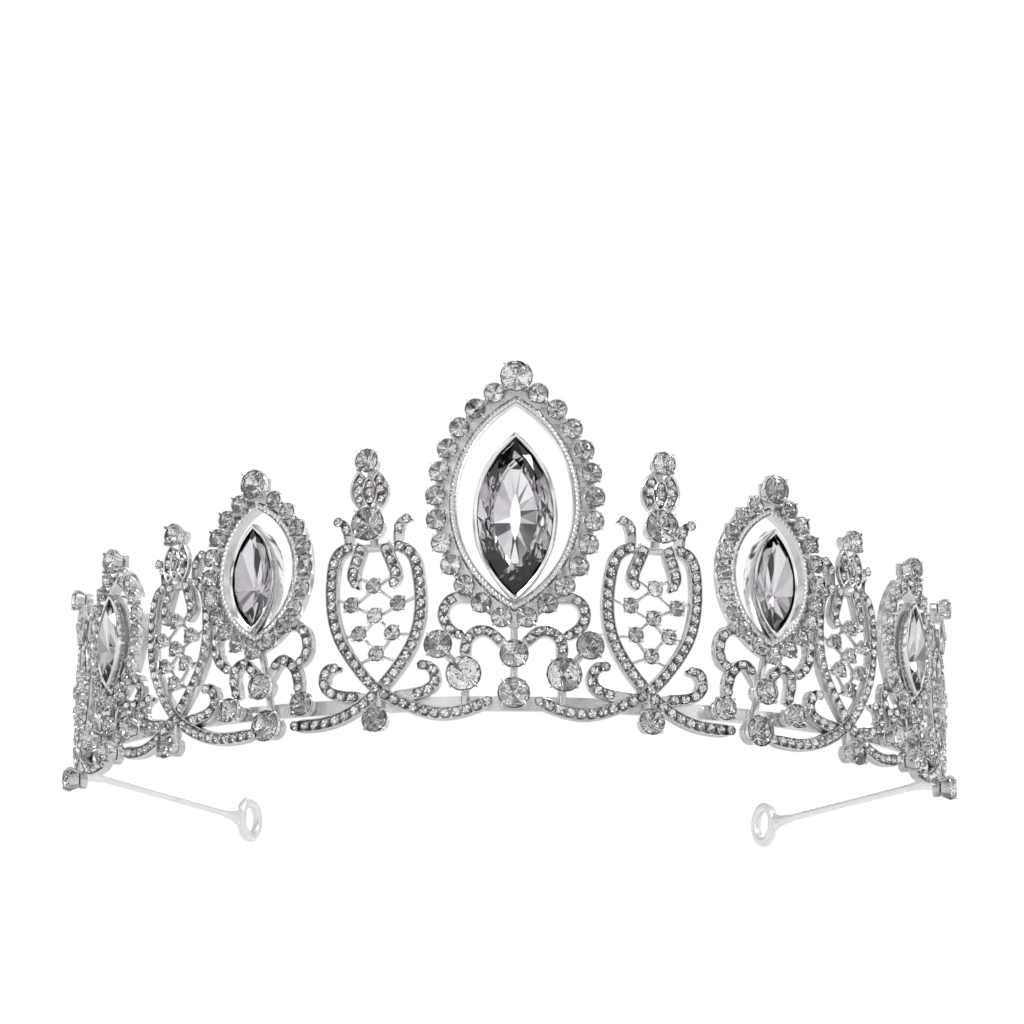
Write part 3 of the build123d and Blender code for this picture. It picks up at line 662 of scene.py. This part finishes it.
# arc, crossing height, oval height, half width and outward lean; then for the inner and the
# outer tail how far it dips, reaches (short of the next base stone's cup) and how high it ends
ovals = [
    dict(name="front", arc=19.7, root=7.0, tall=21.6, half=6.8, lean=0.055, dips=(3.6, 4.4),
         reach=(16.68, 13.88), ends=(5.4, 2.4)),
    dict(name="middle", arc=56.0, root=5.8, tall=20.4, half=6.5, lean=0.0, dips=(4.2, 4.2),
         reach=(16.38, 14.18), ends=(1.8, 2.2)),
    dict(name="back", arc=91.5, root=5.2, tall=17.0, half=5.8, lean=0.0, dips=(4.1, 3.4),
         reach=(15.68, 13.5), ends=(1.6, 2.4)),
]
ribbon = 1.95
for oval in ovals:
    half, tall, root = oval["half"], oval["tall"], oval["root"]
    lean = dict(lean=oval["lean"], root=root)
    profile_shares = [(0.47, 1.0), (0.80, 0.945), (0.97, 0.79), (1.0, 0.60), (0.87, 0.38),
                      (0.52, 0.185), (0.0, 0.0)]
    for hand in (-1, 1):
        node = f"{hand_name[hand]}{oval['name']}_oval_ribbon"
        stones = islands(node.replace("_ribbon", "_stones"))
        local = [(hand * s - oval["arc"], z, d) for s, z, r, d in stones]
        unleaned = [(u - oval["lean"] * max(0, z - root), z, d) for u, z, d in local]
        axis = sorted((z, d) for u, z, d in unleaned if d > 2.6)
        avoid = [(u, z, d / 2 + 0.8) for u, z, d in unleaned]
        shells, jewels = [], []
        # the ribbon of the inner tail runs under the other one where they cross
        for tail, (side, lift) in enumerate(((1, 0.0), (-1, 0.06))):
            reach, end, dip = oval["reach"][tail], oval["ends"][tail], oval["dips"][tail]
            points = [(side * u * half, root + v * tall) for u, v in profile_shares]
            points += [(-side * 0.24 * reach, root - 0.6 * dip), (-side * 0.56 * reach, root - dip),
                       (-side * reach, end)]
            path = spline_path(points)
            shells.append((*strip(path, ribbon, channel, (0.7, 0.35), lift), 0))
            jewels += pave(path, avoid, lift=lift)
        for side in (1, -1):
            hip = 0.56 * half
            shoulder = [(hip, root + tall - 0.2), (hip + 0.1, root + tall + 2.0),
                        (hip + 1.0, root + tall + 3.6), (hip + 2.3, root + tall + 3.5)]
            leaf = [(0.24 * half, root + tall + 0.2), (0.42 * half, root + 0.86 * tall),
                    (0.48 * half, root + 0.78 * tall), (0.36 * half, root + 0.70 * tall)]
            hook = [(1.6, root - 0.9), (5.2, root - 0.7), (8.4, root + 1.2), (7.7, root + 3.3),
                    (5.8, root + 3.4)]
            for points, wide, taper, lift in ((shoulder, 1.5, (0.9, 0.15), 0.03),
                                              (leaf, 2.0, (0.9, 0.25), 0.12),
                                              (hook, 1.8, (0.5, 0.4), 0.02)):
                path = spline_path([(side * u, z) for u, z in points])
                shells.append((*strip(path, wide, channel, taper, lift), 0))
                jewels += pave(path, avoid, lift=lift)
        top, join = axis[-1][0], root + tall - 0.4
        shells.append((*strip(line((0, axis[0][0]), (0, root)), 1.2, round_bar, lift=-0.05), 0))
        shells.append((*strip(line((0, join), (0, top)), 1.3, round_bar, lift=-0.05), 0))
        shells.append((*strip(line((-0.5 * half, join), (0.5 * half, join)), 1.2, round_bar,
                              lift=-0.05), 0))
        shells += [(*disc(0, z, 0.40 * d, 0.0, casting), 0) for z, d in axis]
        solid = placed(shells, hand, oval["arc"], **lean)
        solid += [(p, f, [1 + s for s in slots])
                  for p, f, slots in chatons(pave_on_head(jewels, hand, oval["arc"], **lean))]
        stand_in(shells_mesh(f"{node}_casting", solid, [cast_silver, crystal_glass, pave_foil]),
                 "cast_silver", node)


# ==== Nets ===========================================================================
# Thin cast wires that cross behind the small stones inside each oval, silver plated.

shells = []
for oval in ovals:
    half, tall, root = oval["half"], oval["tall"], oval["root"]
    knots = [(0.0, 0.71), (0.52, 0.585), (-0.52, 0.585), (0.0, 0.505), (0.37, 0.385),
             (-0.37, 0.385), (0.0, 0.245)]
    links = [(0, 1), (0, 2), (1, 3), (2, 3), (3, 4), (3, 5), (4, 6), (5, 6)]
    wires = [(knots[a], knots[b]) for a, b in links]
    for way in (1, -1):
        wires += [(knots[1 if way > 0 else 2], (way * 0.97, 0.65)),
                  (knots[4 if way > 0 else 5], (way * 0.85, 0.38)),
                  (knots[6], (way * 0.50, 0.185)), (knots[0], (way * 0.36, 0.78))]
    for hand in (-1, 1):
        made = [(*strip(line((a[0] * half, root + a[1] * tall), (b[0] * half, root + b[1] * tall)),
                        0.46, wire), 0) for a, b in wires]
        made += [(*disc(u * half, root + v * tall, 0.75, 0.0, 0.6, 12), 0) for u, v in knots]
        shells += placed(made, hand, oval["arc"], oval["lean"], root)
stand_in(shells_mesh("oval_net_wires", shells, [cast_silver]), "cast_silver", "lattice_nets")


# ==== Buds ===========================================================================
# A closed bud of three pointed leaves above each oval, cast with a raised edge on every
# leaf and two or three pave stones glued between the edges.

def leaf_shape(length, width, tilt, shift, depth, lift):
    """Pointed plate: a raised rounded edge swept round a vesica, and a domed floor inside it."""
    profile = [(0.0, front_face + lift), (0.0, front_face + lift + depth),
               (-0.16, front_face + lift + depth + 0.12), (-0.32, front_face + lift + depth),
               (-0.36, front_face + lift + depth - 0.2), (-0.36, front_face + lift)]
    points, faces = vesica_sweep(length, width, 0.46 * length, profile, 14)
    turn = np.radians(tilt)
    c, s = np.cos(turn), np.sin(turn)
    turned = np.column_stack([points[:, 0] * c - points[:, 1] * s + shift,
                              points[:, 0] * s + points[:, 1] * c, points[:, 2]])
    floor = vesica(length - 0.4, width - 0.4, 0.0, 0.46 * length, 14)
    low = np.column_stack([floor[:, 0] * c - floor[:, 1] * s + shift,
                           floor[:, 0] * s + floor[:, 1] * c,
                           np.full(28, front_face + lift + 0.02)])
    high = low + np.array([0, 0, depth - 0.55])
    plate = np.concatenate([low, high])
    plate_faces = grid_faces(2, 28, False) + [list(range(28)), list(range(28, 56))]
    return [(turned, faces, 0), (plate, plate_faces, 0)]


bud_length, bud_width = 6.1, 2.9
bud_leaves = [  # tilt in degrees, shift, share of the full size, lift
    (-4, -1.75, 0.98, 0.0), (4, 1.75, 0.98, 0.0), (0, 0, 0.82, 0.16)]
bud_stones = [(0.22, 1.25), (0.46, 1.6), (0.70, 1.25)]  # share of the leaf's length, diameter
shells = []
for oval in ovals:
    for hand in (-1, 1):
        stones = islands(f"{hand_name[hand]}{oval['name']}_oval_stones")
        top = max(stones, key=lambda row: row[1])
        foot = top[1] - 0.78 * (top[3] / 2 + 0.42) - 5.4 + 0.1
        made, jewels = [], []
        for tilt, shift, size, lift in bud_leaves:
            made += leaf_shape(bud_length * size, bud_width * size, tilt, shift, 0.65, lift)
            turn = np.radians(tilt)
            for share, stone in bud_stones:
                reach = share * bud_length * size
                jewels.append((shift - np.sin(turn) * reach, foot + np.cos(turn) * reach,
                               front_face + lift + 0.15, stone * (0.95 if tilt else 1.0)))
        made = [(p + np.array([0, foot, 0]), f, s) for p, f, s in made]
        offset = oval["lean"], oval["root"]
        shells += placed(made, hand, oval["arc"], *offset)
        shells += [(p, f, [1 + s for s in slots])
                   for p, f, slots in chatons(pave_on_head(jewels, hand, oval["arc"], *offset))]
stand_in(shells_mesh("bud_leaves", shells, [cast_silver, crystal_glass, pave_foil]),
         "cast_silver", "bud_finials")


# ==== End arms =======================================================================
# Two cast arms with a flat foot on the band and a round loop for a hairpin: an oval rod
# swept along a straight line, a ring turned round its hole, tumbled to a satin white.

arm_silver = silver("silver_plated_satin_arm", "EFEFF1", "E4E4E7", 0.38, 0.5, 0.015)
band_reach, arm_length, arm_turn, arm_thick = 112.35, 56.5, 23.0, 1.3
arm_steps = [  # distance along the arm, height above the base, thickness, depth
    (0.0, 4.95, 1.25, 3.2), (2.5, 4.9, 1.2, 2.2), (7.0, 4.8, 1.15, 1.35), (28.0, 4.6, 1.1, 1.2),
    (46.0, 4.4, 1.1, 1.25), (50.5, 4.32, 1.2, 2.0), (53.2, 4.3, 1.25, 3.6), (54.4, 4.3, 1.0, 4.4)]
for hand in (-1, 1):
    node = f"{hand_name[hand]}end_arm"
    end_turn = band_reach / band_radius
    heading = end_turn + np.radians(arm_turn)
    along = np.array([hand * np.cos(heading), np.sin(heading), 0])
    across = np.array([hand * np.sin(heading), -np.cos(heading), 0])
    start = back_face * np.array([hand * np.sin(end_turn), -np.cos(end_turn), 0]) \
        + across * arm_thick / 2
    around = np.arange(16) * np.pi / 8
    fine = np.linspace(0, arm_steps[-1][0], 60)
    steps = np.array(arm_steps)
    rows = [start + along * s + np.outer(np.cos(around) * t / 2, across)
            + np.outer(np.sin(around) * h / 2 + z, [0, 0, 1])
            for s, z, t, h in zip(fine, *(np.interp(fine, steps[:, 0], steps[:, k])
                                          for k in (1, 2, 3)))]
    rod = (np.concatenate(rows) * mm, grid_faces(60, 16, False)
           + [list(range(16)), list(range(59 * 16, 60 * 16))], 0)
    middle = start + along * arm_length + np.array([0, 0, 4.3])
    rows = []
    for turn in np.arange(48) * 2 * np.pi / 48:
        out = along * np.cos(turn) + np.array([0, 0, 1]) * np.sin(turn)
        rows.append(middle + np.outer(3.05 + 0.93 * np.cos(around), out)
                    + np.outer(0.8 * np.sin(around), across))
    ring = (np.concatenate(rows) * mm, grid_faces(48, 16, True), 0)
    foot = strip(line((band_reach - 6.0, 4.95), (band_reach - 0.6, 4.95)), 3.3,
                 [(u, h * arm_thick / 1.2) for u, h in round_bar], (0.75, 0.9))
    shells = placed([(*foot, 0)], hand, 0.0) + [rod, ring]
    stand_in(shells_mesh(f"{node}_rod", shells, [arm_silver]), "satin_silver", node)


# ==== Floor, light and camera ========================================================
# A pale sheet under the tiara that is clear from below, as the view is from just under
# its edge, with broad soft light from above and white paper all round.

floor_mesh = bpy.data.meshes.new("floor")
floor_mesh.from_pydata([(-1.5, -1.5, 0), (1.5, -1.5, 0), (1.5, 1.5, 0), (-1.5, 1.5, 0)], [],
                       [(0, 1, 2, 3)])
floor = bpy.data.objects.new("floor", floor_mesh)
bpy.context.scene.collection.objects.link(floor)
floor.location.z = cad_box[0][2]
paper, tree, output = new_material("white_paper_sweep")
sheet = add_node(tree, "ShaderNodeBsdfPrincipled", {"Base Color": linear("F4F4F4"), "Roughness": 0.8})
clear = add_node(tree, "ShaderNodeBsdfTransparent")
under = add_node(tree, "ShaderNodeNewGeometry").outputs["Backfacing"]
side = add_node(tree, "ShaderNodeMixShader", {0: under, 1: sheet.outputs[0], 2: clear.outputs[0]})
tree.links.new(side.outputs[0], output.inputs["Surface"])
floor_mesh.materials.append(paper)

world = bpy.data.worlds.new("studio")
bpy.context.scene.world = world
world.use_nodes = True
sky = world.node_tree
sky.nodes.clear()
# reflections see white walls broken by black flags, and a darker room overhead
direction = add_node(sky, "ShaderNodeTexCoord").outputs["Generated"]
flags = add_node(sky, "ShaderNodeTexNoise", {"Vector": direction, "Scale": 7.0, "Detail": 1.0})
cut = add_node(sky, "ShaderNodeValToRGB", {"Fac": flags.outputs["Fac"]})
cut.color_ramp.elements[0].position, cut.color_ramp.elements[1].position = 0.43, 0.50
cut.color_ramp.elements[0].color = (0.02, 0.02, 0.022, 1)
cut.color_ramp.elements[1].color = (1.32, 1.32, 1.32, 1)
height = add_node(sky, "ShaderNodeSeparateXYZ", {"Vector": direction}).outputs["Z"]
falling = add_node(sky, "ShaderNodeMapRange", {"Value": height, "From Min": 0.0, "From Max": 0.9,
                                               "To Min": 1.0, "To Max": 0.8})
room = add_node(sky, "ShaderNodeBackground", {"Color": cut.outputs["Color"],
                                              "Strength": falling.outputs["Result"]})
white = add_node(sky, "ShaderNodeBackground", {"Color": (1, 1, 1, 1), "Strength": 1.0})
seen = add_node(sky, "ShaderNodeLightPath").outputs["Is Camera Ray"]
both = add_node(sky, "ShaderNodeMixShader", {0: seen, 1: room.outputs[0], 2: white.outputs[0]})
sky.links.new(both.outputs[0], add_node(sky, "ShaderNodeOutputWorld").inputs["Surface"])


def soft_box(name, at, aim, size, watts):
    """Square area light at a place, turned to look at a point."""
    light = bpy.data.lights.new(name, "AREA")
    light.size, light.energy = size, watts
    made = bpy.data.objects.new(name, light)
    made.location = at
    made.rotation_euler = (aim - at).to_track_quat("-Z", "Y").to_euler()
    bpy.context.scene.collection.objects.link(made)


middle = Vector((0, -0.02, 0.025))
soft_box("key_above", Vector((-0.35, -0.55, 0.55)), middle, 0.12, 1.6)
soft_box("fill_right", Vector((0.5, -0.25, 0.6)), middle, 0.14, 0.9)
soft_box("rim_behind", Vector((0.1, 0.6, 0.4)), middle, 0.25, 1.2)

camera_data = bpy.data.cameras.new("camera")
camera_data.sensor_width, camera_data.lens = 36.0, 128.4
camera = bpy.data.objects.new("camera", camera_data)
bpy.context.scene.collection.objects.link(camera)
distance, below, aside, roll = 0.600, np.radians(10.3), np.radians(0.4), np.radians(0.5)
target = Vector((0, 0, 0.025))
ahead = Vector((np.sin(aside) * np.cos(below), np.cos(aside) * np.cos(below), np.sin(below)))
camera.location = target - distance * ahead
upwards = Vector((0, -np.sin(below), np.cos(below)))
rise_of_aim = 0.0231
aim = target + rise_of_aim * upwards
turned = (aim - camera.location).to_track_quat("-Z", "Y").to_matrix().to_4x4()
camera.matrix_world = Matrix.Translation(camera.location) @ turned @ Matrix.Rotation(roll, 4, "Z")
bpy.context.scene.camera = camera
bpy.context.scene.view_settings.view_transform = "Standard"
